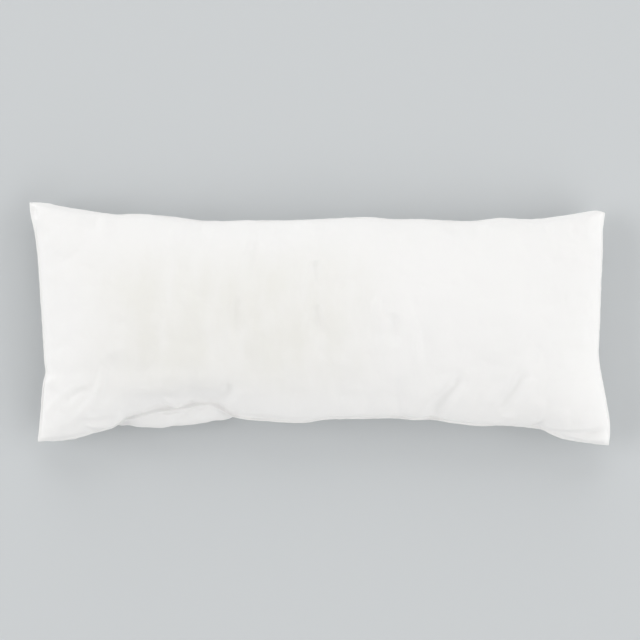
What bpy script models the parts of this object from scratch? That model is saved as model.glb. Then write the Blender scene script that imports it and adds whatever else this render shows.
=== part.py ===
"""A bench pillow insert: a long white cover of two panels sewn edge to edge and filled with fibre.

It lies face up on its back. X runs along its length, +Y towards its back edge, and Z up from
the surface that it rests on. The cover is one closed, filled solid: an upper and a lower panel
that share the seam round the edge.
"""

import math
import random
from collections import namedtuple

import bpy

MM = 0.001

# Driving sizes of the filled pillow as it lies, in millimetres.
HEIGHT = 120.0
SEAM_HEIGHT = 44.0
SEAM_DROOP_AT_ENDS = 6.0
SEAM_DROOP_AT_CORNERS = 12.0
LOWER_SWELL = 66.0
LIP_WIDTH = 4.5
LIP_HALF_THICKNESS = 1.3
FLOOR_ROUNDING = 4.0

# How the filling carries the cover: how soon it rises from the ends and from the long seams.
END_POWER = 4.0
END_ROUNDNESS = 0.5
SIDE_ROUNDNESS = 0.6
CORNER_THINNING = 0.6
CORNER_POWER = 6.0

# The cover's line, seen from above. A row is one place on an edge where its course changes.
EdgePoint = namedtuple("EdgePoint", "along out")

BACK_EDGE = [
    EdgePoint(-446, 187),
    EdgePoint(-417, 185),
    EdgePoint(-394, 180),
    EdgePoint(-352, 173),
    EdgePoint(-309, 167),
    EdgePoint(-288, 168),
    EdgePoint(-235, 165),
    EdgePoint(-182, 158),
    EdgePoint(-151, 157),
    EdgePoint(-121, 158),
    EdgePoint(-60, 158),
    EdgePoint(0, 160),
    EdgePoint(71, 163),
    EdgePoint(110, 160),
    EdgePoint(153, 160),
    EdgePoint(191, 158),
    EdgePoint(229, 157),
    EdgePoint(274, 162),
    EdgePoint(305, 160),
    EdgePoint(335, 161),
    EdgePoint(366, 165),
    EdgePoint(396, 170),
    EdgePoint(421, 174),
    EdgePoint(436, 171),
]
FRONT_EDGE = [
    EdgePoint(-433, 180),
    EdgePoint(-379, 176),
    EdgePoint(-352, 168),
    EdgePoint(-318, 159),
    EdgePoint(-302, 154),
    EdgePoint(-280, 156),
    EdgePoint(-250, 158),
    EdgePoint(-212, 155),
    EdgePoint(-182, 150),
    EdgePoint(-148, 144),
    EdgePoint(-90, 147),
    EdgePoint(-26, 150),
    EdgePoint(8, 145),
    EdgePoint(62, 144),
    EdgePoint(110, 143),
    EdgePoint(145, 146),
    EdgePoint(168, 145),
    EdgePoint(198, 150),
    EdgePoint(244, 155),
    EdgePoint(274, 154),
    EdgePoint(335, 160),
    EdgePoint(350, 167),
    EdgePoint(366, 174),
    EdgePoint(396, 180),
    EdgePoint(442, 186),
]
LEFT_END = [
    EdgePoint(-180, 433),
    EdgePoint(-155, 429),
    EdgePoint(-91, 423),
    EdgePoint(-73, 419),
    EdgePoint(-55, 421),
    EdgePoint(0, 424),
    EdgePoint(41, 427),
    EdgePoint(91, 430),
    EdgePoint(128, 434),
    EdgePoint(146, 437),
    EdgePoint(164, 442),
    EdgePoint(187, 446),
]
RIGHT_END = [
    EdgePoint(-186, 442),
    EdgePoint(-155, 442),
    EdgePoint(-128, 438),
    EdgePoint(-70, 427),
    EdgePoint(-43, 424),
    EdgePoint(0, 426),
    EdgePoint(85, 429),
    EdgePoint(120, 431),
    EdgePoint(143, 431),
    EdgePoint(171, 436),
]

# Along one stretch of the front edge the seam has rolled up and in, and the lower panel
# swells out past it, to the line above.
RollPoint = namedtuple("RollPoint", "along inward bulge hold")

SEAM_ROLL = [
    RollPoint(-342, 0, 0, 0),
    RollPoint(-322, 0, 0.6, 0.2),
    RollPoint(-308, 2, 0.98, 0.45),
    RollPoint(-290, 11, 1.04, 0.7),
    RollPoint(-258, 22, 1.03, 0.95),
    RollPoint(-243, 25, 1.0, 1.0),
    RollPoint(-200, 26, 0.97, 1.05),
    RollPoint(-182, 27, 0.97, 1.05),
    RollPoint(-163, 23, 0.97, 0.95),
    RollPoint(-150, 13, 1.0, 0.6),
    RollPoint(-136, 4, 0.9, 0.25),
    RollPoint(-120, 1, 0.5, 0.05),
    RollPoint(-104, 0, 0, 0),
]
ROLL_LIFT = 0.45
UPPER_ROLL_REACH = 75.0
LIFT_REACH = 50.0

# The lower panel along that stretch: the share of the seam's shift that it is drawn in by, how
# far it is pushed out, and the share of its drop that the rolled cloth holds back.
RolledPoint = namedtuple("RolledPoint", "from_seam drawn_in pushed_out held")

ROLLED_PANEL = [
    RolledPoint(0, 1.0, 0, 1.0),
    RolledPoint(4.5, 0.85, 1, 0.9),
    RolledPoint(9.5, 0.5, 6, 0.78),
    RolledPoint(15.5, 0.2, 13, 0.68),
    RolledPoint(22.5, 0.0, 21, 0.58),
    RolledPoint(30.5, 0.0, 29, 0.48),
    RolledPoint(40, 0.0, 35, 0.36),
    RolledPoint(51, 0.0, 33, 0.24),
    RolledPoint(64, 0.0, 27, 0.12),
    RolledPoint(79, 0.0, 20, 0.04),
    RolledPoint(96, 0.0, 13, 0.0),
    RolledPoint(115, 0.0, 6, 0.0),
    RolledPoint(135, 0.0, 0, 0.0),
]

# Folds and hollows of the upper panel. Each runs from one point to another; a rise above
# nothing is a ridge and one below nothing is a trough.
Fold = namedtuple("Fold", "from_x from_y to_x to_y width rise")

CREASES = [
    Fold(-233, -117, -205, -126, 9, 3.5),
    Fold(-190, -122, -162, -126, 9, 2.5),
    Fold(-276, -124, -236, -118, 9, -2.5),
    Fold(-132, -96, -166, -128, 13, -5.0),
    Fold(-322, -71, -343, -121, 12, 3.0),
    Fold(-343, -121, -386, -155, 12, 3.0),
    Fold(-333, -118, -384, -168, 10, -2.5),
    Fold(-350, -98, -389, -127, 10, -3.0),
    Fold(-399, -80, -414, -98, 9, 2.5),
    Fold(-405, -118, -413, -142, 9, 2.0),
    Fold(-350, -153, -316, -154, 9, 2.5),
    Fold(212, -90, 170, -142, 11, -3.5),
    Fold(303, -77, 262, -139, 10, -3.0),
    Fold(274, -140, 299, -136, 9, 2.0),
    Fold(322, -155, 340, -152, 9, -4.5),
    Fold(352, -165, 436, -163, 9, -4.0),
    Fold(400, -176, 436, -174, 9, 2.5),
    Fold(-337, 164, -335, 136, 9, -3.5),
    Fold(-437, 177, -428, 160, 9, -4.0),
    Fold(424, -44, 402, -40, 12, -3.5),
]
HOLLOWS = [
    Fold(-94, 124, -98, 56, 13, -1.8),
    Fold(-122, 36, -118, -34, 13, -1.8),
    Fold(-6, 92, 0, 50, 12, -1.6),
    Fold(-4, 26, 1, -20, 12, -2.0),
    Fold(109, 12, 110, -36, 12, -2.0),
    Fold(146, -14, 148, -82, 12, 1.8),
    Fold(86, 40, 87, -12, 12, 1.6),
    Fold(-197, 125, -197, 72, 24, -1.8),
    Fold(-258, -74, -258, -86, 26, -2.4),
    Fold(-188, -78, -188, -90, 26, -2.4),
    Fold(-40, 60, -40, -70, 26, 1.6),
    Fold(62, 90, 62, -20, 22, -1.6),
    Fold(40, -88, 40, -104, 22, -2.0),
    Fold(118, -96, 118, -112, 22, -2.0),
    Fold(199, 12, 199, -34, 22, -1.6),
    Fold(-270, 30, -270, -20, 40, 1.8),
    Fold(276, 60, 276, -30, 46, 1.8),
]

# Puckers: short gathers that run in from the seam, at uneven steps.
PUCKER_SEED = 23
PUCKER_STEP = (19.0, 37.0)
PUCKER_REACH = (16.0, 42.0)
PUCKER_WIDTH = (8.0, 13.0)
PUCKER_RISE = (1.0, 2.4)
PUCKERS_AT_ENDS = 0.4
PUCKER_LEAN = 9.0
CORNER_CLEARANCE = 30.0

# The mesh is finest by the seam, where the creases are. Distances from the seam, in millimetres.
NEAR_LONG_SEAM = [0.0, 4.5, 9.5, 15.5, 22.5, 30.5, 40.0, 51.0, 64.0, 79.0, 96.0, 115.0, 135.0]
NEAR_END_SEAM = [0.0, 4.5, 9.5, 15.5, 22.5, 30.5, 40.0]
LENGTHWISE_STEP = 8.6
WIDTHWISE_STEP = 24.0

COVER_COLOUR = (0.87, 0.865, 0.845, 1.0)
COVER_ROUGHNESS = 0.9


def smooth_step(share):
    share = min(1.0, max(0.0, share))
    return share * share * (3.0 - 2.0 * share)


def between(low, high, share):
    return low + (high - low) * share


def curve_at(table, place, column=1):
    """A column's value at a place on a smooth curve through a table's rows, level past its ends."""
    places = [row[0] for row in table]
    values = [row[column] for row in table]
    place = min(places[-1], max(places[0], place))
    last = len(table) - 1
    start = next(row for row in range(last) if place <= places[row + 1])
    end = start + 1
    before = max(0, start - 1)
    after = min(last, end + 1)
    span = places[end] - places[start]
    leave = (values[end] - values[before]) / (places[end] - places[before]) * span
    arrive = (values[after] - values[start]) / (places[after] - places[start]) * span
    share = (place - places[start]) / span
    squared = share * share
    cubed = squared * share
    return (
        (2 * cubed - 3 * squared + 1) * values[start]
        + (cubed - 2 * squared + share) * leave
        + (3 * squared - 2 * cubed) * values[end]
        + (cubed - squared) * arrive
    )


def plan_point(length_share, width_share):
    """The place, seen from above, of a point that lies at these shares of the length and width."""
    front_x = between(FRONT_EDGE[0].along, FRONT_EDGE[-1].along, length_share)
    back_x = between(BACK_EDGE[0].along, BACK_EDGE[-1].along, length_share)
    left_y = between(LEFT_END[0].along, LEFT_END[-1].along, width_share)
    right_y = between(RIGHT_END[0].along, RIGHT_END[-1].along, width_share)
    front = (front_x, -curve_at(FRONT_EDGE, front_x))
    back = (back_x, curve_at(BACK_EDGE, back_x))
    left = (-curve_at(LEFT_END, left_y), left_y)
    right = (curve_at(RIGHT_END, right_y), right_y)
    front_corners = (
        (FRONT_EDGE[0].along, LEFT_END[0].along),
        (FRONT_EDGE[-1].along, RIGHT_END[0].along),
    )
    back_corners = (
        (BACK_EDGE[0].along, LEFT_END[-1].along),
        (BACK_EDGE[-1].along, RIGHT_END[-1].along),
    )
    place = []
    for axis in (0, 1):
        lengthwise = between(left[axis], right[axis], length_share)
        crosswise = between(front[axis], back[axis], width_share)
        front_side = between(front_corners[0][axis], front_corners[1][axis], length_share)
        back_side = between(back_corners[0][axis], back_corners[1][axis], length_share)
        place.append(lengthwise + crosswise - between(front_side, back_side, width_share))
    return place


def filling(end_share, side_share):
    """The cover's swell, from 0 at the seam to 1 at the middle of the pillow."""
    from_ends = (1.0 - end_share**END_POWER) ** END_ROUNDNESS
    from_sides = (1.0 - side_share**2) ** (SIDE_ROUNDNESS * from_ends**2)
    corner = 1.0 - CORNER_THINNING * (end_share * side_share) ** CORNER_POWER
    return from_ends * from_sides * corner


def seam_height(end_share, side_share):
    """The seam's height over the surface, lower at the ends and lowest at the corners."""
    at_end = SEAM_DROOP_AT_ENDS * end_share**4
    at_corner = SEAM_DROOP_AT_CORNERS * (end_share * side_share) ** 6
    return SEAM_HEIGHT - at_end - at_corner


def fold_height(folds, x, y):
    """What ridges and troughs add at a point: full along a fold's line, fading away from it."""
    height = 0.0
    for fold in folds:
        run_x = fold.to_x - fold.from_x
        run_y = fold.to_y - fold.from_y
        length = math.hypot(run_x, run_y)
        along = ((x - fold.from_x) * run_x + (y - fold.from_y) * run_y) / length
        across = ((x - fold.from_x) * run_y - (y - fold.from_y) * run_x) / length
        past = max(0.0, -along, along - length)
        height += fold.rise * math.exp(-2.0 * (across**2 + past**2) / fold.width**2)
    return height


def puckers():
    """Gathers along the four seams, leaning a little either way."""
    dice = random.Random(PUCKER_SEED)
    found = []
    edges = [
        (BACK_EDGE, lambda along, out: (along, out), (0, -1)),
        (FRONT_EDGE, lambda along, out: (along, -out), (0, 1)),
        (LEFT_END, lambda along, out: (-out, along), (1, 0)),
        (RIGHT_END, lambda along, out: (out, along), (-1, 0)),
    ]
    for table, placed, inward in edges:
        along = table[0].along + CORNER_CLEARANCE
        side = PUCKERS_AT_ENDS if inward[0] else 1.0
        while along < table[-1].along - CORNER_CLEARANCE:
            x, y = placed(along, curve_at(table, along) - LIP_WIDTH)
            reach = dice.uniform(*PUCKER_REACH)
            lean = dice.uniform(-PUCKER_LEAN, PUCKER_LEAN)
            to_x = x + inward[0] * reach + abs(inward[1]) * lean
            to_y = y + inward[1] * reach + abs(inward[0]) * lean
            rise = side * dice.uniform(*PUCKER_RISE)
            found.append(Fold(x, y, to_x, to_y, dice.uniform(*PUCKER_WIDTH), rise))
            along += dice.uniform(*PUCKER_STEP)
            side = -side
    return found


def rest_on_floor(height):
    """Flattens what would hang below the surface, rounding into the flat."""
    if height <= -FLOOR_ROUNDING:
        return 0.0
    if height >= FLOOR_ROUNDING:
        return height
    return (height + FLOOR_ROUNDING) ** 2 / (4.0 * FLOOR_ROUNDING)


def panel_point(length_share, width_share, upper, gathers):
    """A point of the upper or lower panel, in millimetres."""
    half_length = (FRONT_EDGE[-1].along - FRONT_EDGE[0].along) / 2.0
    half_width = (LEFT_END[-1].along - LEFT_END[0].along) / 2.0
    end_share = abs(2.0 * length_share - 1.0)
    side_share = abs(2.0 * width_share - 1.0)
    x, y = plan_point(length_share, width_share)
    from_front = width_share * 2.0 * half_width
    from_seam = min((1.0 - end_share) * half_length, (1.0 - side_share) * half_width)
    roll = curve_at(SEAM_ROLL, x)
    lift = ROLL_LIFT * roll * (1.0 - smooth_step(from_front / LIFT_REACH))
    inside_end = min(1.0, end_share / (1.0 - LIP_WIDTH / half_length))
    inside_side = min(1.0, side_share / (1.0 - LIP_WIDTH / half_width))
    swell = filling(inside_end, inside_side)
    lip = LIP_HALF_THICKNESS * smooth_step(from_seam / LIP_WIDTH)
    seam = seam_height(end_share, side_share) + lift
    loose = smooth_step(from_seam / (2.0 * LIP_WIDTH))
    gathered = loose * fold_height(gathers, x, y)
    if not upper:
        drawn_in = roll * curve_at(ROLLED_PANEL, from_front, 1)
        pushed_out = curve_at(SEAM_ROLL, x, 2) * curve_at(ROLLED_PANEL, from_front, 2)
        held = curve_at(SEAM_ROLL, x, 3) * curve_at(ROLLED_PANEL, from_front, 3)
        under = seam - lip - LOWER_SWELL * swell * (1.0 - held) - gathered
        return (x, y + drawn_in - pushed_out, rest_on_floor(under))
    y += roll * (1.0 - smooth_step(from_front / UPPER_ROLL_REACH))
    crown = (HEIGHT - SEAM_HEIGHT) * swell
    return (x, y, seam + lip + crown + gathered + loose * fold_height(CREASES + HOLLOWS, x, y))


def shares_from(near, whole, step):
    """Rising shares of a length, from the distances near each end and an even step between."""
    ends = [distance / whole for distance in near]
    middle = whole - 2.0 * near[-1]
    count = max(1, round(middle / step))
    inner = [(near[-1] + middle * n / count) / whole for n in range(1, count)]
    return ends + inner + [1.0 - share for share in reversed(ends)]


def cover_mesh():
    """Both panels as one closed mesh, which share the points of the seam."""
    whole_length = FRONT_EDGE[-1].along - FRONT_EDGE[0].along
    whole_width = LEFT_END[-1].along - LEFT_END[0].along
    length_shares = shares_from(NEAR_END_SEAM, whole_length, LENGTHWISE_STEP)
    width_shares = shares_from(NEAR_LONG_SEAM, whole_width, WIDTHWISE_STEP)
    gathers = puckers()
    last_column = len(length_shares) - 1
    last_row = len(width_shares) - 1
    points = []
    numbers = {}

    def number_of(column, row, upper):
        on_seam = column in (0, last_column) or row in (0, last_row)
        key = (column, row, upper or on_seam)
        if key not in numbers:
            numbers[key] = len(points)
            points.append(panel_point(length_shares[column], width_shares[row], key[2], gathers))
        return numbers[key]

    faces = []
    for upper in (True, False):
        for column in range(last_column):
            for row in range(last_row):
                ring = [
                    number_of(column, row, upper),
                    number_of(column + 1, row, upper),
                    number_of(column + 1, row + 1, upper),
                    number_of(column, row + 1, upper),
                ]
                faces.append(ring if upper else ring[::-1])
    return points, faces


def centred(points):
    """The points in metres, with the middle of their box over the origin."""
    middle_x = (min(p[0] for p in points) + max(p[0] for p in points)) / 2.0
    middle_y = (min(p[1] for p in points) + max(p[1] for p in points)) / 2.0
    return [((x - middle_x) * MM, (y - middle_y) * MM, z * MM) for x, y, z in points]


def cover_material():
    material = bpy.data.materials.new("white_cotton")
    material.use_nodes = True
    shader = material.node_tree.nodes["Principled BSDF"]
    shader.inputs["Base Color"].default_value = COVER_COLOUR
    shader.inputs["Roughness"].default_value = COVER_ROUGHNESS
    shader.inputs["Metallic"].default_value = 0.0
    return material


def make_pillow():
    points, faces = cover_mesh()
    mesh = bpy.data.meshes.new("pillow")
    mesh.from_pydata(centred(points), [], faces)
    mesh.shade_smooth()
    mesh.materials.append(cover_material())
    pillow = bpy.data.objects.new("pillow", mesh)
    bpy.context.scene.collection.objects.link(pillow)
    return pillow


for old in list(bpy.data.objects):
    bpy.data.objects.remove(old)
make_pillow()
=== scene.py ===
"""A bench pillow insert lying face up: its cover, simulated, creased and woven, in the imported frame."""

import math
from collections import namedtuple

import bpy
import numpy as np
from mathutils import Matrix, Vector, noise


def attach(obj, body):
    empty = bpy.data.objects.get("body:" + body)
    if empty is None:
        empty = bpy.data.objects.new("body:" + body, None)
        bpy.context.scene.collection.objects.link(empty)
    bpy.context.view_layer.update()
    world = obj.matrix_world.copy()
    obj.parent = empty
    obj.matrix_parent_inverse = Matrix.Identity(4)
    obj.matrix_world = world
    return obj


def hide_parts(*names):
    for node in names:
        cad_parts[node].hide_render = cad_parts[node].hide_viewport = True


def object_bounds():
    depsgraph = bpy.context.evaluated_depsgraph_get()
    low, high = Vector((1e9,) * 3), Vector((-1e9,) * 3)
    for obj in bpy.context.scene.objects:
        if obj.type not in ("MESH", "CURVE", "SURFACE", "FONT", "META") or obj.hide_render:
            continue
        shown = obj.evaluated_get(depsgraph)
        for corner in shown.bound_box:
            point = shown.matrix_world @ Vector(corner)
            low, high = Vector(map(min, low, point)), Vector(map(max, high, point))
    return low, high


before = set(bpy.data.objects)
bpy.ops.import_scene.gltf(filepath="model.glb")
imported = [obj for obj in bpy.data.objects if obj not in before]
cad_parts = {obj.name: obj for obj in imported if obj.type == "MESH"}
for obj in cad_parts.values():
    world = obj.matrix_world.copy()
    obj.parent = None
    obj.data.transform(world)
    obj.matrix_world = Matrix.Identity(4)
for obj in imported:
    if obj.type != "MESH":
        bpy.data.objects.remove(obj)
cad_low, cad_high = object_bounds()

# The seam. Two equal panels of white cotton are sewn together all round and turned right side
# out, so the seam is a soft bead where both meet. Its line is drawn in between the corners,
# and along one stretch of the front it has rolled up and in, so the lower panel shows below it.

MM = 0.001
SEAM_HEIGHT = 44.0
SEAM_DROOP_AT_ENDS = 6.0
SEAM_DROOP_AT_CORNERS = 12.0

EdgePoint = namedtuple("EdgePoint", "along out")

BACK_EDGE = [
    EdgePoint(-446, 187),
    EdgePoint(-417, 185),
    EdgePoint(-394, 180),
    EdgePoint(-352, 173),
    EdgePoint(-309, 167),
    EdgePoint(-288, 168),
    EdgePoint(-235, 165),
    EdgePoint(-182, 158),
    EdgePoint(-151, 157),
    EdgePoint(-121, 158),
    EdgePoint(-60, 158),
    EdgePoint(0, 160),
    EdgePoint(71, 163),
    EdgePoint(110, 160),
    EdgePoint(153, 160),
    EdgePoint(191, 158),
    EdgePoint(229, 157),
    EdgePoint(274, 162),
    EdgePoint(305, 160),
    EdgePoint(335, 161),
    EdgePoint(366, 165),
    EdgePoint(396, 170),
    EdgePoint(421, 174),
    EdgePoint(436, 171),
]
FRONT_EDGE = [
    EdgePoint(-433, 180),
    EdgePoint(-379, 176),
    EdgePoint(-352, 168),
    EdgePoint(-318, 159),
    EdgePoint(-302, 154),
    EdgePoint(-280, 156),
    EdgePoint(-250, 158),
    EdgePoint(-212, 155),
    EdgePoint(-182, 150),
    EdgePoint(-148, 144),
    EdgePoint(-90, 147),
    EdgePoint(-26, 150),
    EdgePoint(8, 145),
    EdgePoint(62, 144),
    EdgePoint(110, 143),
    EdgePoint(145, 146),
    EdgePoint(168, 145),
    EdgePoint(198, 150),
    EdgePoint(244, 155),
    EdgePoint(274, 154),
    EdgePoint(335, 160),
    EdgePoint(350, 167),
    EdgePoint(366, 174),
    EdgePoint(396, 180),
    EdgePoint(442, 186),
]
LEFT_END = [
    EdgePoint(-180, 433),
    EdgePoint(-155, 429),
    EdgePoint(-91, 423),
    EdgePoint(-73, 419),
    EdgePoint(-55, 421),
    EdgePoint(0, 424),
    EdgePoint(41, 427),
    EdgePoint(91, 430),
    EdgePoint(128, 434),
    EdgePoint(146, 437),
    EdgePoint(164, 442),
    EdgePoint(187, 446),
]
RIGHT_END = [
    EdgePoint(-186, 442),
    EdgePoint(-155, 442),
    EdgePoint(-128, 438),
    EdgePoint(-70, 427),
    EdgePoint(-43, 424),
    EdgePoint(0, 426),
    EdgePoint(85, 429),
    EdgePoint(120, 431),
    EdgePoint(143, 431),
    EdgePoint(171, 436),
]

# How far in the seam has rolled at places along the front, and the shares of the lower
# panel's bulge, and of its hold up under the seam, that each place has.
RollPoint = namedtuple("RollPoint", "along inward bulge hold")

SEAM_ROLL = [
    RollPoint(-342, 0, 0, 0),
    RollPoint(-322, 0, 0.6, 0.2),
    RollPoint(-308, 2, 0.98, 0.45),
    RollPoint(-290, 11, 1.04, 0.7),
    RollPoint(-258, 22, 1.03, 0.95),
    RollPoint(-243, 25, 1.0, 1.0),
    RollPoint(-200, 26, 0.97, 1.05),
    RollPoint(-182, 27, 0.97, 1.05),
    RollPoint(-163, 23, 0.97, 0.95),
    RollPoint(-150, 13, 1.0, 0.6),
    RollPoint(-136, 4, 0.9, 0.25),
    RollPoint(-120, 1, 0.5, 0.05),
    RollPoint(-104, 0, 0, 0),
]
ROLL_LIFT = 0.45
LIFT_REACH = 50.0


def smooth_step(share):
    share = np.clip(share, 0.0, 1.0)
    return share * share * (3.0 - 2.0 * share)


def between(low, high, share):
    return low + (high - low) * share


def curve_at(table, places, column=1):
    """A column's values at places on a smooth curve through a table's rows, level past its ends."""
    rows = np.array(table, dtype=float)
    knots = rows[:, 0]
    values = rows[:, column]
    last = len(rows) - 1
    places = np.clip(places, knots[0], knots[-1])
    start = np.clip(np.searchsorted(knots, places, side="right") - 1, 0, last - 1)
    end = start + 1
    before = np.maximum(0, start - 1)
    after = np.minimum(last, end + 1)
    span = knots[end] - knots[start]
    leave = (values[end] - values[before]) / (knots[end] - knots[before]) * span
    arrive = (values[after] - values[start]) / (knots[after] - knots[start]) * span
    share = (places - knots[start]) / span
    squared = share * share
    cubed = squared * share
    return (
        (2 * cubed - 3 * squared + 1) * values[start]
        + (cubed - 2 * squared + share) * leave
        + (3 * squared - 2 * cubed) * values[end]
        + (cubed - squared) * arrive
    )


def plan_of(length_share, width_share):
    """Places, seen from above, of points that lie at these shares of the length and width."""
    front_x = between(FRONT_EDGE[0].along, FRONT_EDGE[-1].along, length_share)
    back_x = between(BACK_EDGE[0].along, BACK_EDGE[-1].along, length_share)
    left_y = between(LEFT_END[0].along, LEFT_END[-1].along, width_share)
    right_y = between(RIGHT_END[0].along, RIGHT_END[-1].along, width_share)
    front = (front_x, -curve_at(FRONT_EDGE, front_x))
    back = (back_x, curve_at(BACK_EDGE, back_x))
    left = (-curve_at(LEFT_END, left_y), left_y)
    right = (curve_at(RIGHT_END, right_y), right_y)
    front_corners = (
        (FRONT_EDGE[0].along, LEFT_END[0].along),
        (FRONT_EDGE[-1].along, RIGHT_END[0].along),
    )
    back_corners = (
        (BACK_EDGE[0].along, LEFT_END[-1].along),
        (BACK_EDGE[-1].along, RIGHT_END[-1].along),
    )
    place = []
    for axis in (0, 1):
        lengthwise = between(left[axis], right[axis], length_share)
        crosswise = between(front[axis], back[axis], width_share)
        front_side = between(front_corners[0][axis], front_corners[1][axis], length_share)
        back_side = between(back_corners[0][axis], back_corners[1][axis], length_share)
        place.append(lengthwise + crosswise - between(front_side, back_side, width_share))
    return place


def seam_height(end_share, side_share):
    """The seam's height over the surface, lower at the ends and lowest at the corners."""
    at_end = SEAM_DROOP_AT_ENDS * end_share**4
    at_corner = SEAM_DROOP_AT_CORNERS * (end_share * side_share) ** 6
    return SEAM_HEIGHT - at_end - at_corner


# The two panels, filled. Each is one plain rectangle of cotton. The filling swells the upper
# one into a crown that flattens towards the ends, and the lower one lies flat on the surface.

HEIGHT = 120.0
LOWER_SWELL = 66.0
LIP_WIDTH = 4.5
LIP_HALF_THICKNESS = 1.2
FLOOR_ROUNDING = 4.0
END_POWER = 4.0
END_ROUNDNESS = 0.5
SIDE_ROUNDNESS = 0.6
CORNER_THINNING = 0.6
CORNER_POWER = 6.0

# Where the seam has rolled in, the upper panel slopes down to it. The lower panel loses its
# lip there, is drawn in beside the seam, bulges out past it and is held up by the filling.
UPPER_ROLL_REACH = 75.0
UPPER_SLOPE = 0.016
UPPER_SLOPE_REACH = 90.0
FLAT_LIP_ROLL = 20.0

RolledPoint = namedtuple("RolledPoint", "from_seam drawn_in pushed_out held")

ROLLED_PANEL = [
    RolledPoint(0, 1.0, 0, 1.0),
    RolledPoint(4.5, 0.72, 1, 1.0),
    RolledPoint(9.5, 0.48, 4, 0.92),
    RolledPoint(15.5, 0.22, 9, 0.8),
    RolledPoint(22.5, 0.04, 17, 0.68),
    RolledPoint(30.5, 0.0, 27, 0.54),
    RolledPoint(40, 0.0, 35, 0.36),
    RolledPoint(51, 0.0, 33, 0.24),
    RolledPoint(64, 0.0, 27, 0.12),
    RolledPoint(79, 0.0, 20, 0.04),
    RolledPoint(96, 0.0, 13, 0.0),
    RolledPoint(115, 0.0, 6, 0.0),
    RolledPoint(135, 0.0, 0, 0.0),
]


def filling(end_share, side_share):
    """The cover's swell, from 0 at the seam to 1 at the middle of the pillow."""
    from_ends = (1.0 - end_share**END_POWER) ** END_ROUNDNESS
    from_sides = (1.0 - side_share**2) ** (SIDE_ROUNDNESS * from_ends**2)
    corner = 1.0 - CORNER_THINNING * (end_share * side_share) ** CORNER_POWER
    return from_ends * from_sides * corner


def rest_on_floor(height):
    """Flattens what would hang below the surface, rounding into the flat."""
    rounded = (np.maximum(height, -FLOOR_ROUNDING) + FLOOR_ROUNDING) ** 2 / (4.0 * FLOOR_ROUNDING)
    return np.where(height >= FLOOR_ROUNDING, height, rounded)


def panel_points(length_share, width_share, upper, gathers):
    """Points of the upper or lower panel as filled, in millimetres, one row for each."""
    half_length = (FRONT_EDGE[-1].along - FRONT_EDGE[0].along) / 2.0
    half_width = (LEFT_END[-1].along - LEFT_END[0].along) / 2.0
    end_share = np.abs(2.0 * length_share - 1.0)
    side_share = np.abs(2.0 * width_share - 1.0)
    x, y = plan_of(length_share, width_share)
    from_front = width_share * 2.0 * half_width
    from_seam = np.minimum((1.0 - end_share) * half_length, (1.0 - side_share) * half_width)
    roll = curve_at(SEAM_ROLL, x)
    lift = ROLL_LIFT * roll * (1.0 - smooth_step(from_front / LIFT_REACH))
    inside_end = np.minimum(1.0, end_share / (1.0 - LIP_WIDTH / half_length))
    inside_side = np.minimum(1.0, side_share / (1.0 - LIP_WIDTH / half_width))
    swell = filling(inside_end, inside_side)
    lip = LIP_HALF_THICKNESS * smooth_step(from_seam / LIP_WIDTH)
    seam = seam_height(end_share, side_share) + lift
    gathered = smooth_step(from_seam / (2.0 * LIP_WIDTH)) * gathers(x, y)
    if upper:
        y = y + roll * (1.0 - smooth_step(from_front / UPPER_ROLL_REACH))
        sunk = UPPER_SLOPE * roll * np.clip(1.0 - from_front / UPPER_SLOPE_REACH, 0.0, 1.0) ** 2
        z = seam + lip + (HEIGHT - SEAM_HEIGHT) * swell * (1.0 - sunk) + gathered
    else:
        drawn_in = roll * curve_at(ROLLED_PANEL, from_front, 1)
        pushed_out = curve_at(SEAM_ROLL, x, 2) * curve_at(ROLLED_PANEL, from_front, 2)
        held = curve_at(SEAM_ROLL, x, 3) * curve_at(ROLLED_PANEL, from_front, 3)
        y = y + drawn_in - pushed_out
        lip = lip * (1.0 - np.minimum(roll / FLAT_LIP_ROLL, 1.0))
        z = rest_on_floor(seam - lip - LOWER_SWELL * swell * (1.0 - held) - gathered)
    return np.stack(np.broadcast_arrays(x, y, z), axis=-1)


# The puckers. Filling draws the seam in by some millimetres in a hundred, so the cloth beside
# it has too much length and gathers into short folds that run in from it, at uneven steps.

PUCKER_SEED = 23
PUCKER_STEP = (14.0, 34.0)
PUCKER_REACH = (16.0, 46.0)
PUCKER_WIDTH = (8.0, 14.0)
PUCKER_RISE = (0.6, 2.2)
PUCKERS_AT_ENDS = 0.3
PUCKER_LEAN = 11.0
CORNER_CLEARANCE = 24.0

dice = np.random.default_rng(PUCKER_SEED)
Pucker = namedtuple("Pucker", "from_x from_y to_x to_y width rise")
puckers = []
for table, turn in ((BACK_EDGE, 0), (FRONT_EDGE, 2), (LEFT_END, 1), (RIGHT_END, 3)):
    along = table[0].along + CORNER_CLEARANCE
    side = PUCKERS_AT_ENDS if turn in (1, 3) else 1.0
    while along < table[-1].along - CORNER_CLEARANCE:
        out = float(curve_at(table, along)) - LIP_WIDTH
        inner = out - dice.uniform(*PUCKER_REACH)
        leaning = along + dice.uniform(-PUCKER_LEAN, PUCKER_LEAN)
        root, tip = {
            0: ((along, out), (leaning, inner)),
            1: ((-out, along), (-inner, leaning)),
            2: ((along, -out), (leaning, -inner)),
            3: ((out, along), (inner, leaning)),
        }[turn]
        rise = side * dice.uniform(*PUCKER_RISE)
        puckers.append(Pucker(*root, *tip, dice.uniform(*PUCKER_WIDTH), rise))
        along += dice.uniform(*PUCKER_STEP)
        side = -side


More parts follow.
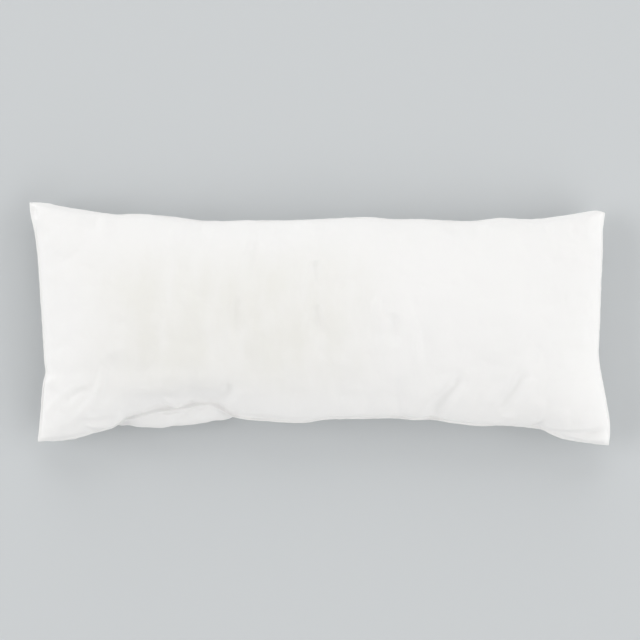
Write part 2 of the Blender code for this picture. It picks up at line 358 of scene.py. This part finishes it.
def pucker_height(x, y):
    """What the puckers add at points: full along a pucker's line, fading away from it."""
    height = np.zeros(np.broadcast(x, y).shape)
    for pucker in puckers:
        run_x = pucker.to_x - pucker.from_x
        run_y = pucker.to_y - pucker.from_y
        length = math.hypot(run_x, run_y)
        along = ((x - pucker.from_x) * run_x + (y - pucker.from_y) * run_y) / length
        across = ((x - pucker.from_x) * run_y - (y - pucker.from_y) * run_x) / length
        past = np.maximum(0.0, np.maximum(-along, along - length))
        height += pucker.rise * np.exp(-2.0 * (across**2 + past**2) / pucker.width**2)
    return height


# The cover as sewn. Both panels are one mesh of threads' rows and columns that share the seam.
# Each point knows its place on the flat cut panel, which sets how long its cloth really is.

CUT_LENGTH = 925.0
CUT_WIDTH = 364.0
NEAR_SEAM = (0.0, 2.4, 5.0, 8.4)
CELL = 5.5
EVEN_REACH = 60.0
UV_PANEL_GAP = 36.0


def stations(whole):
    """Distances of the mesh's rows over a panel, closer by the seam, where its bead is."""
    inner = whole - 2.0 * NEAR_SEAM[-1]
    count = round(inner / CELL)
    middle = NEAR_SEAM[-1] + inner * np.arange(1, count) / count
    return np.concatenate([NEAR_SEAM, middle, [whole - near for near in reversed(NEAR_SEAM)]])


def evened(shares, upper, lengthwise):
    """Shares that lie as far apart on the filled form as the given ones on the cut panel."""
    fine = np.linspace(0.0, 1.0, 801)
    middle = np.full_like(fine, 0.5)
    places = (fine, middle) if lengthwise else (middle, fine)
    line = panel_points(*places, upper, pucker_height)
    steps = np.linalg.norm(np.diff(line, axis=0), axis=1)
    travelled = np.concatenate([[0.0], np.cumsum(steps)])
    return np.interp(shares * travelled[-1], travelled, fine)


columns = stations(CUT_LENGTH)
rows = stations(CUT_WIDTH)
column_count = len(columns)
row_count = len(rows)
length_share = (columns / CUT_LENGTH)[:, None] + np.zeros(row_count)[None, :]
width_share = np.zeros(column_count)[:, None] + (rows / CUT_WIDTH)[None, :]
from_end = np.minimum(columns, CUT_LENGTH - columns)[:, None] + np.zeros(row_count)[None, :]
from_side = np.zeros(column_count)[:, None] + np.minimum(rows, CUT_WIDTH - rows)[None, :]


def filled_panel(upper):
    """A panel's points on the filled form, spaced as its cloth is."""
    even_length = evened(columns / CUT_LENGTH, upper, True)[:, None]
    even_width = evened(rows / CUT_WIDTH, upper, False)[None, :]
    along = between(length_share, even_length, smooth_step(from_side / EVEN_REACH))
    across = between(width_share, even_width, smooth_step(from_end / EVEN_REACH))
    return panel_points(along, across, upper, pucker_height)


upper_numbers = np.arange(column_count * row_count).reshape(column_count, row_count)
lower_numbers = upper_numbers.copy()
inner_count = (column_count - 2) * (row_count - 2)
lower_inner = column_count * row_count + np.arange(inner_count)
lower_numbers[1:-1, 1:-1] = lower_inner.reshape(column_count - 2, row_count - 2)

sewn = np.concatenate(
    [
        filled_panel(True).reshape(-1, 3),
        filled_panel(False)[1:-1, 1:-1].reshape(-1, 3),
    ]
)
box_middle = (sewn.min(axis=0) + sewn.max(axis=0)) / 2.0
cad_middle = np.array((cad_low + cad_high) / 2.0) / MM
sewn[:, :2] += (cad_middle - box_middle)[:2]

flat = np.stack([length_share * CUT_LENGTH, width_share * CUT_WIDTH], axis=-1)
cut_points = np.concatenate([flat.reshape(-1, 2), flat[1:-1, 1:-1].reshape(-1, 2)])
from_seam = np.minimum(from_end, from_side)
seam_distance = np.concatenate([from_seam.reshape(-1), from_seam[1:-1, 1:-1].reshape(-1)])
panel_side = np.concatenate(
    [
        np.where(from_seam > 0.0, 1.0, 0.0).reshape(-1),
        np.full(inner_count, -1.0),
    ]
)


def quads(numbers):
    """The faces between a panel's rows and columns, facing up, as rows of four point numbers."""
    corners = (numbers[:-1, :-1], numbers[1:, :-1], numbers[1:, 1:], numbers[:-1, 1:])
    return np.stack([corner.reshape(-1) for corner in corners], axis=-1)


faces = np.concatenate([quads(upper_numbers), quads(lower_numbers)[:, ::-1]])
sewn_mesh = bpy.data.meshes.new("sewn_cover")
sewn_mesh.from_pydata((sewn * MM).tolist(), [], faces.tolist())
lower_face_start = len(faces) // 2
lower_uv_shift = np.repeat([0.0, CUT_WIDTH + UV_PANEL_GAP], lower_face_start * 4)
uv = cut_points[faces.reshape(-1)].copy()
uv[:, 1] += lower_uv_shift
cut_map = sewn_mesh.uv_layers.new(name="cut")
cut_map.data.foreach_set("uv", (uv * MM).reshape(-1))
for name, values in (("from_seam", seam_distance), ("side", panel_side)):
    attribute = sewn_mesh.attributes.new(name, "FLOAT", "POINT")
    attribute.data.foreach_set("value", values)
cover = bpy.data.objects.new("cover", sewn_mesh)
bpy.context.scene.collection.objects.link(cover)


# The filling. Loose fibre presses the cover out to its own volume, and the cloth, no longer
# than it was cut, settles round it: taut over the crown, gathered along the seam. By the seam
# and in some spots it has been smoothed by hand, and keeps more of the form it was sewn to.

FILLED_VOLUME = 0.028
FILLING_PUSH = 150.0
CLOTH_STIFFNESS = 60.0
CLOTH_BENDING = 0.12
SEAM_HOLD = 0.75
SETTLING_FRAMES = 40
TABLE_DROP = 2.0

SmoothSpot = namedtuple("SmoothSpot", "x y share reach")

SMOOTH_SPOTS = [
    SmoothSpot(-446, 187, 0.85, 190),
    SmoothSpot(436, 171, 0.85, 190),
    SmoothSpot(-424, 0, 0.7, 160),
    SmoothSpot(-433, -180, 0.5, 140),
    SmoothSpot(400, -186, 0.92, 170),
    SmoothSpot(-270, -130, 0.8, 90),
    SmoothSpot(-215, -120, 0.85, 100),
    SmoothSpot(-160, -115, 0.8, 90),
]
SPOT_EDGE = 1.5
SMOOTH_BY_SEAM = 0.8
SMOOTH_BY_SEAM_REACH = 22.0


def smoothed_share(x, y):
    """How much of the sewn form a point keeps: most along the seam and in the smoothed spots."""
    share = SMOOTH_BY_SEAM * (1.0 - smooth_step(seam_distance / SMOOTH_BY_SEAM_REACH))
    for spot in SMOOTH_SPOTS:
        nearness = 1.0 - np.hypot(x - spot.x, y - spot.y) / spot.reach
        share = np.maximum(share, spot.share * smooth_step(SPOT_EDGE * nearness))
    return share


def flat_length_key(piece):
    """A shape key with every point on the flat cut panel, for the cloth's own lengths."""
    piece.shape_key_add(name="Filled")
    key = piece.shape_key_add(name="Cut")
    apart = panel_side * 0.5
    places = np.column_stack([cut_points, apart]) * MM
    key.data.foreach_set("co", places.reshape(-1))
    key.value = 0.0
    return key


def table_top(drop):
    """A hard surface under the cover, for the time of the simulation."""
    bpy.ops.mesh.primitive_plane_add(size=4.0, location=(0.0, 0.0, -drop * MM))
    table = bpy.context.object
    table.modifiers.new("Collision", "COLLISION")
    table.collision.thickness_outer = 0.001
    return table


cut_key = flat_length_key(cover)
held = cover.vertex_groups.new(name="seam")
seam_points = [int(number) for number in np.flatnonzero(seam_distance == 0.0)]
held.add(seam_points, SEAM_HOLD, "REPLACE")
table = table_top(TABLE_DROP)
cloth = cover.modifiers.new("Cloth", "CLOTH")
cloth.settings.quality = 6
cloth.settings.mass = 0.3
cloth.settings.tension_stiffness = CLOTH_STIFFNESS
cloth.settings.compression_stiffness = CLOTH_STIFFNESS
cloth.settings.shear_stiffness = CLOTH_STIFFNESS / 4.0
cloth.settings.bending_stiffness = CLOTH_BENDING
cloth.settings.tension_damping = 2.0
cloth.settings.compression_damping = 2.0
cloth.settings.shear_damping = 2.0
cloth.settings.bending_damping = 0.5
cloth.settings.air_damping = 1.5
cloth.settings.use_pressure = True
cloth.settings.uniform_pressure_force = 0.0
cloth.settings.use_pressure_volume = True
cloth.settings.target_volume = FILLED_VOLUME
cloth.settings.pressure_factor = FILLING_PUSH
cloth.settings.rest_shape_key = cut_key
cloth.settings.effector_weights.gravity = 0.3
cloth.settings.vertex_group_mass = "seam"
cloth.settings.pin_stiffness = 10.0
cloth.collision_settings.distance_min = 0.002
cloth.point_cache.frame_start = 1
cloth.point_cache.frame_end = SETTLING_FRAMES
for step in range(1, SETTLING_FRAMES + 1):
    bpy.context.scene.frame_set(step)
depsgraph = bpy.context.evaluated_depsgraph_get()
settled = bpy.data.meshes.new_from_object(cover.evaluated_get(depsgraph))
settled_points = np.zeros(len(sewn) * 3)
settled.vertices.foreach_get("co", settled_points)
smoothed = smoothed_share(sewn[:, 0], sewn[:, 1])[:, None]
settled_points = between(settled_points.reshape(-1, 3), sewn * MM, smoothed)
settled.vertices.foreach_set("co", settled_points.reshape(-1))
bpy.data.objects.remove(table)
bpy.data.objects.remove(cover)
bpy.context.scene.frame_set(1)
cover = bpy.data.objects.new("cover", settled)
bpy.context.scene.collection.objects.link(cover)

finer = cover.modifiers.new("Finer", "SUBSURF")
finer.levels = 1
finer.render_levels = 1
finer.uv_smooth = "NONE"
depsgraph = bpy.context.evaluated_depsgraph_get()
fine_mesh = bpy.data.meshes.new_from_object(cover.evaluated_get(depsgraph))
bpy.data.objects.remove(cover)
cover = bpy.data.objects.new("cover", fine_mesh)
bpy.context.scene.collection.objects.link(cover)


# Creases. Handling has left soft folds in the upper panel, most of them by the front corners,
# and a few in the lower one where it shows. The fibre lies in lumps and in broad bands.

Crease = namedtuple("Crease", "from_x from_y to_x to_y bow width depth")

CREASES = [
    Crease(-233, -117, -205, -126, 2, 5, -3.0),
    Crease(-190, -122, -162, -126, -2, 5, -2.4),
    Crease(-132, -96, -166, -128, -4, 10, 3.2),
    Crease(-322, -71, -386, -155, -14, 8, -2.6),
    Crease(-335, -108, -386, -168, -8, 6, 1.0),
    Crease(-350, -98, -389, -127, 3, 6, 2.4),
    Crease(-399, -80, -414, -98, 0, 6, -1.4),
    Crease(-405, -118, -413, -142, 0, 6, -1.4),
    Crease(-350, -153, -316, -154, 2, 4, -2.4),
    Crease(-354, -146, -306, -143, 2, 4, 2.0),
    Crease(210, -84, 162, -156, 3, 10, 4.2),
    Crease(202, -66, 208, -98, 0, 8, 0.8),
    Crease(303, -77, 248, -156, -3, 10, 4.0),
    Crease(320, -76, 299, -82, 0, 6, 0.8),
    Crease(274, -140, 299, -136, 0, 4, -1.4),
    Crease(322, -155, 340, -152, 0, 5, 3.0),
    Crease(352, -165, 446, -163, 3, 5, 4.0),
    Crease(400, -176, 446, -174, 0, 5, -2.0),
    Crease(-337, 164, -335, 136, 1, 7, 1.8),
    Crease(-437, 177, -428, 160, 0, 4, 3.4),
    Crease(-94, 124, -98, 56, 2, 11, 3.0),
    Crease(-122, 36, -118, -34, 2, 10, 3.4),
    Crease(-6, 92, 0, 50, 1, 9, 3.0),
    Crease(-4, 26, 1, -20, 1, 9, 3.8),
    Crease(109, 12, 110, -36, -1, 11, 3.4),
    Crease(146, -14, 148, -82, 2, 7, -1.6),
    Crease(86, 40, 87, -12, 2, 7, -2.2),
]

LOWER_CREASES = [
    Crease(-200, -129, -248, -156, 3, 7, -2.0),
    Crease(-188, -132, -228, -154, 3, 6, 2.2),
    Crease(-300, -148, -262, -140, 0, 6, -1.6),
]

Band = namedtuple("Band", "x from_y to_y width rise")

BANDS = [
    Band(-197, 72, 125, 24, -1.6),
    Band(-258, -86, -74, 26, -2.3),
    Band(-188, -90, -78, 26, -2.3),
    Band(-40, -70, 60, 26, 1.3),
    Band(62, -20, 90, 22, -1.3),
    Band(40, -104, -88, 22, -1.8),
    Band(118, -112, -96, 22, -1.8),
    Band(199, -34, 12, 22, -1.6),
    Band(-270, -20, 30, 40, 1.6),
    Band(276, -30, 60, 46, 1.6),
    Band(-404, -140, -108, 20, -3.1),
    Band(-292, -126, -118, 32, -3.0),
    Band(-240, -128, -120, 34, -5.4),
    Band(-188, -128, -120, 34, -6.0),
    Band(-136, -128, -120, 36, -6.0),
    Band(-84, -130, -122, 34, -4.6),
    Band(-32, -132, -124, 34, -3.6),
    Band(20, -130, -122, 32, -3.0),
    Band(72, -128, -120, 34, -3.6),
    Band(124, -130, -122, 34, -3.4),
    Band(176, -132, -124, 32, -2.6),
    Band(296, -116, 0, 44, 4.6),
]

CREASE_WIDENING = (0.8, 0.5)
SHOULDER_SHARE = 0.3
SHOULDER_AT = 1.6
SHOULDER_WIDTH = 0.9
FADE_IN_FROM = 0.15
FADE_IN_OVER = 0.3
FADE_OUT_AT = 1.12
FADE_OUT_OVER = 0.6


def crease_height(creases, x, y):
    """What creases add: each a soft valley with low shoulders, fading out towards its end."""
    height = np.zeros(len(x))
    for crease in creases:
        run_x = crease.to_x - crease.from_x
        run_y = crease.to_y - crease.from_y
        length = math.hypot(run_x, run_y)
        along = ((x - crease.from_x) * run_x + (y - crease.from_y) * run_y) / length**2
        across = ((x - crease.from_x) * run_y - (y - crease.from_y) * run_x) / length
        inside = np.clip(along, 0.0, 1.0)
        across = across - crease.bow * 4.0 * inside * (1.0 - inside)
        width = crease.width * (CREASE_WIDENING[0] + CREASE_WIDENING[1] * inside)
        aside = across / width
        shoulders = np.exp(-(((np.abs(aside) - SHOULDER_AT) / SHOULDER_WIDTH) ** 2))
        valley = -np.exp(-aside * aside) + SHOULDER_SHARE * shoulders
        fade_in = smooth_step((along + FADE_IN_FROM) / FADE_IN_OVER)
        fade = fade_in * smooth_step((FADE_OUT_AT - along) / FADE_OUT_OVER)
        height += crease.depth * valley * fade
    return height


def band_height(x, y):
    """What the bands of fibre add: broad soft swells and hollows across the pillow."""
    height = np.zeros(len(x))
    for band in BANDS:
        past = np.maximum(0.0, np.maximum(band.from_y - y, y - band.to_y))
        height += band.rise * np.exp(-2.0 * ((x - band.x) ** 2 + past**2) / band.width**2)
    return height


# The fine relief: lumps of fibre, small ruffles that run in from the seam, the seam's own
# bead, and the line that the stitches pull down beside it. Each point's side is 1 on the
# upper panel, 0 on the seam and -1 on the lower one.

PANEL_EDGE = 6.0
SIDE_EDGE = 0.2
UPPER_BLEND = 0.4
LOWER_BLEND = 0.8
LUMP_SIZE = 38.0
LUMP_RISE = 1.5
LUMP_REACH = 30.0
SMALL_LUMP_SHARE = 0.5
SMALL_LUMP_FINENESS = 2.3
RUFFLE_LENGTH = 9.0
RUFFLE_REACH = 30.0
RUFFLE_HEIGHT = 60.0
RUFFLE_RISE = 0.55
RUFFLE_FADE = 9.0
BEAD_REACH = 3.0
BEAD_RISE = 0.7
DITCH_AT = 6.4
DITCH_WIDTH = 1.9
DITCH_DEPTH = 0.25
FLOOR_CLEARANCE = 6.0
HALF_LENGTH = 425.0
HALF_WIDTH = 150.0


def soft_noise(places):
    """Smooth noise from -1 to 1 at each place."""
    return np.array([noise.noise(Vector(place)) for place in places])


point_count = len(fine_mesh.vertices)
points = np.zeros(point_count * 3)
fine_mesh.vertices.foreach_get("co", points)
points = points.reshape(-1, 3) / MM
normals = np.zeros(point_count * 3)
fine_mesh.vertices.foreach_get("normal", normals)
normals = normals.reshape(-1, 3)
distance = np.zeros(point_count)
fine_mesh.attributes["from_seam"].data.foreach_get("value", distance)
side = np.zeros(point_count)
fine_mesh.attributes["side"].data.foreach_get("value", side)

x, y, z = points.T
on_top = smooth_step((side + SIDE_EDGE) / UPPER_BLEND) * smooth_step(distance / PANEL_EDGE)
below = smooth_step((-side - SIDE_EDGE) / LOWER_BLEND) * smooth_step(distance / PANEL_EDGE)
lumps = soft_noise(points / LUMP_SIZE)
lumps += SMALL_LUMP_SHARE * soft_noise(points / LUMP_SIZE * SMALL_LUMP_FINENESS)
by_long_seam = np.abs(y) / HALF_WIDTH > np.abs(x) / HALF_LENGTH
by_long = (RUFFLE_LENGTH, RUFFLE_REACH, RUFFLE_HEIGHT)
by_short = (RUFFLE_REACH, RUFFLE_LENGTH, RUFFLE_HEIGHT)
grain = np.where(by_long_seam[:, None], by_long, by_short)
ruffle = soft_noise(points / grain) * np.exp(-distance / RUFFLE_FADE)
ditch = np.exp(-(((distance - DITCH_AT) / DITCH_WIDTH) ** 2))
off_floor = smooth_step(z / FLOOR_CLEARANCE)
raised = on_top * (crease_height(CREASES, x, y) + band_height(x, y))
raised += below * crease_height(LOWER_CREASES, x, y)
raised += off_floor * (LUMP_RISE * lumps * smooth_step(distance / LUMP_REACH))
raised += RUFFLE_RISE * ruffle
raised += BEAD_RISE * np.exp(-((distance / BEAD_REACH) ** 2))
raised -= DITCH_DEPTH * ditch * smooth_step(side + 0.5)
points += normals * raised[:, None]
points[:, 2] = np.maximum(points[:, 2], 0.0)
fine_mesh.vertices.foreach_set("co", (points * MM).reshape(-1))
fine_mesh.shade_smooth()
fine_mesh.update()


# The cloth. Bleached cotton in a plain weave, matt and a little crumpled. Its colour has painted shade
# in patches over the left and the middle of the crown, darker and a little warmer away from the seam.

COTTON = (0.836, 0.83, 0.82, 1.0)
# The second cotton tone is painted shade: darker and a little warmer, used over the middle and left of
# the crown.
COTTON_WARM_SHADE = (0.782, 0.774, 0.74, 1.0)
THREAD_PITCH = 0.00045
WEAVE_RELIEF = 0.00006
CRUMPLE_FINENESS = 140.0
CRUMPLE_RELIEF = 0.0006
# Where the painted shade falls: from this far in from the seam, and left of the brighter right end.
WARM_SHADE_FROM_SEAM = (38.0, 140.0)
WARM_SHADE_RIGHT_EDGE = (0.14, -0.02)
WARM_SHADE_LEFT_EDGE = (-0.42, -0.22)
PATCH_STRETCH = (2.6, 1.0, 1.0)
PATCH_FINENESS = 11.0


def link(tree, source, target):
    tree.links.new(source, target)


def math_node(tree, operation, first, second):
    """A Math node, with its two inputs linked or set."""
    node = tree.nodes.new("ShaderNodeMath")
    node.operation = operation
    for socket, value in zip(node.inputs, (first, second)):
        if isinstance(value, (int, float)):
            socket.default_value = value
        else:
            link(tree, value, socket)
    return node.outputs["Value"]


def noise_node(tree, places, scale, detail):
    node = tree.nodes.new("ShaderNodeTexNoise")
    node.inputs["Scale"].default_value = scale
    node.inputs["Detail"].default_value = detail
    link(tree, places, node.inputs["Vector"])
    return node.outputs["Fac"]


def map_range(tree, value, from_low, from_high):
    """A value's smooth share of the way between two others."""
    node = tree.nodes.new("ShaderNodeMapRange")
    node.interpolation_type = "SMOOTHSTEP"
    node.inputs["From Min"].default_value = from_low
    node.inputs["From Max"].default_value = from_high
    link(tree, value, node.inputs["Value"])
    return node.outputs["Result"]


def cotton_material():
    material = bpy.data.materials.new("bleached_cotton")
    material.use_nodes = True
    tree = material.node_tree
    shader = tree.nodes["Principled BSDF"]
    coordinates = tree.nodes.new("ShaderNodeTexCoord")
    cut = tree.nodes.new("ShaderNodeUVMap")
    cut.uv_map = "cut"
    threads = tree.nodes.new("ShaderNodeSeparateXYZ")
    link(tree, cut.outputs["UV"], threads.inputs["Vector"])
    turn = math.pi / THREAD_PITCH
    warp = math_node(tree, "SINE", math_node(tree, "MULTIPLY", threads.outputs["X"], turn), 0.0)
    weft = math_node(tree, "SINE", math_node(tree, "MULTIPLY", threads.outputs["Y"], turn), 0.0)
    weave = math_node(tree, "MULTIPLY", warp, weft)
    crumple = noise_node(tree, coordinates.outputs["Object"], CRUMPLE_FINENESS, 3.0)
    crumple_bump = tree.nodes.new("ShaderNodeBump")
    crumple_bump.inputs["Strength"].default_value = 0.5
    crumple_bump.inputs["Distance"].default_value = CRUMPLE_RELIEF
    link(tree, crumple, crumple_bump.inputs["Height"])
    weave_bump = tree.nodes.new("ShaderNodeBump")
    weave_bump.inputs["Strength"].default_value = 0.5
    weave_bump.inputs["Distance"].default_value = WEAVE_RELIEF
    link(tree, weave, weave_bump.inputs["Height"])
    link(tree, crumple_bump.outputs["Normal"], weave_bump.inputs["Normal"])
    link(tree, weave_bump.outputs["Normal"], shader.inputs["Normal"])
    inward = tree.nodes.new("ShaderNodeAttribute")
    inward.attribute_name = "from_seam"
    middle = map_range(tree, inward.outputs["Fac"], *WARM_SHADE_FROM_SEAM)
    place = tree.nodes.new("ShaderNodeSeparateXYZ")
    link(tree, coordinates.outputs["Object"], place.inputs["Vector"])
    off_right = map_range(tree, place.outputs["X"], *WARM_SHADE_RIGHT_EDGE)
    off_left = map_range(tree, place.outputs["X"], *WARM_SHADE_LEFT_EDGE)
    lengthwise = math_node(tree, "MULTIPLY", off_right, off_left)
    stretched = tree.nodes.new("ShaderNodeMapping")
    stretched.inputs["Scale"].default_value = PATCH_STRETCH
    link(tree, coordinates.outputs["Object"], stretched.inputs["Vector"])
    patches = noise_node(tree, stretched.outputs["Vector"], PATCH_FINENESS, 3.0)
    # Painted shade: the crown's middle and left, away from the seam, made darker and warmer in noisy
    # patches.
    warm_shade = math_node(tree, "MULTIPLY", math_node(tree, "MULTIPLY", middle, lengthwise), patches)
    ramp = tree.nodes.new("ShaderNodeValToRGB")
    ramp.color_ramp.elements[0].position = 0.0
    ramp.color_ramp.elements[0].color = COTTON
    ramp.color_ramp.elements[1].position = 0.6
    ramp.color_ramp.elements[1].color = COTTON_WARM_SHADE
    link(tree, warm_shade, ramp.inputs["Fac"])
    link(tree, ramp.outputs["Color"], shader.inputs["Base Color"])
    shader.inputs["Roughness"].default_value = 0.92
    shader.inputs["Sheen Weight"].default_value = 0.15
    shader.inputs["Sheen Roughness"].default_value = 0.5
    return material


fine_mesh.materials.clear()
fine_mesh.materials.append(cotton_material())
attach(cover, "root")
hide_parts("pillow")


# The studio. A plain pale floor and pale air, six large soft lights, the strongest on the left
# and the weakest at the right back and the front, and the camera straight above the pillow.

FLOOR_SIZE = 15.0
FLOOR_TONE = (0.55, 0.57, 0.58, 1.0)
AIR_TONE = (1.0, 1.0, 1.0, 1.0)
AIR_STRENGTH = 0.35
CAMERA_HEIGHT = 2.5
VIEW_WIDTH = 0.9728
VIEW_CENTRE_X = 0.0012
VIEW_CENTRE_Y = 0.006
SENSOR_WIDTH = 36.0

bpy.ops.mesh.primitive_plane_add(size=FLOOR_SIZE, location=(0.0, 0.0, 0.0))
floor = bpy.context.object
floor.name = "floor"
floor_material = bpy.data.materials.new("pale_floor")
floor_material.use_nodes = True
floor_shader = floor_material.node_tree.nodes["Principled BSDF"]
floor_shader.inputs["Base Color"].default_value = FLOOR_TONE
floor_shader.inputs["Roughness"].default_value = 0.8
floor.data.materials.append(floor_material)

Light = namedtuple("Light", "name place power")

LIGHT_SIZE = 9.0
LIGHTS = [
    Light("right", (10.5, 0.6, 4.5), 540.0),
    Light("right_front", (7.2, -7.2, 6.6), 486.0),
    Light("right_back", (7.2, 7.2, 6.6), 90.0),
    Light("left", (-10.5, 0.6, 4.5), 890.0),
    Light("back", (0.0, 10.5, 4.5), 580.0),
    Light("front", (0.0, -10.5, 4.5), 180.0),
]
LIGHTS_AIM = Vector((0.0, 0.0, 0.05))

for light in LIGHTS:
    lamp = bpy.data.lights.new(light.name, "AREA")
    lamp.shape = "SQUARE"
    lamp.size = LIGHT_SIZE
    lamp.energy = light.power
    lamp_object = bpy.data.objects.new(light.name, lamp)
    lamp_object.location = light.place
    aim = LIGHTS_AIM - Vector(light.place)
    lamp_object.rotation_euler = aim.to_track_quat("-Z", "Y").to_euler()
    bpy.context.scene.collection.objects.link(lamp_object)

world = bpy.data.worlds.new("studio")
world.use_nodes = True
air = world.node_tree.nodes["Background"]
air.inputs["Color"].default_value = AIR_TONE
air.inputs["Strength"].default_value = AIR_STRENGTH
bpy.context.scene.world = world
bpy.context.scene.view_settings.view_transform = "Standard"

camera = bpy.data.cameras.new("camera")
camera.sensor_width = SENSOR_WIDTH
camera.lens = SENSOR_WIDTH * CAMERA_HEIGHT / VIEW_WIDTH
camera_object = bpy.data.objects.new("camera", camera)
camera_object.location = (VIEW_CENTRE_X, VIEW_CENTRE_Y, SEAM_HEIGHT * MM + CAMERA_HEIGHT)
bpy.context.scene.collection.objects.link(camera_object)
bpy.context.scene.camera = camera_object
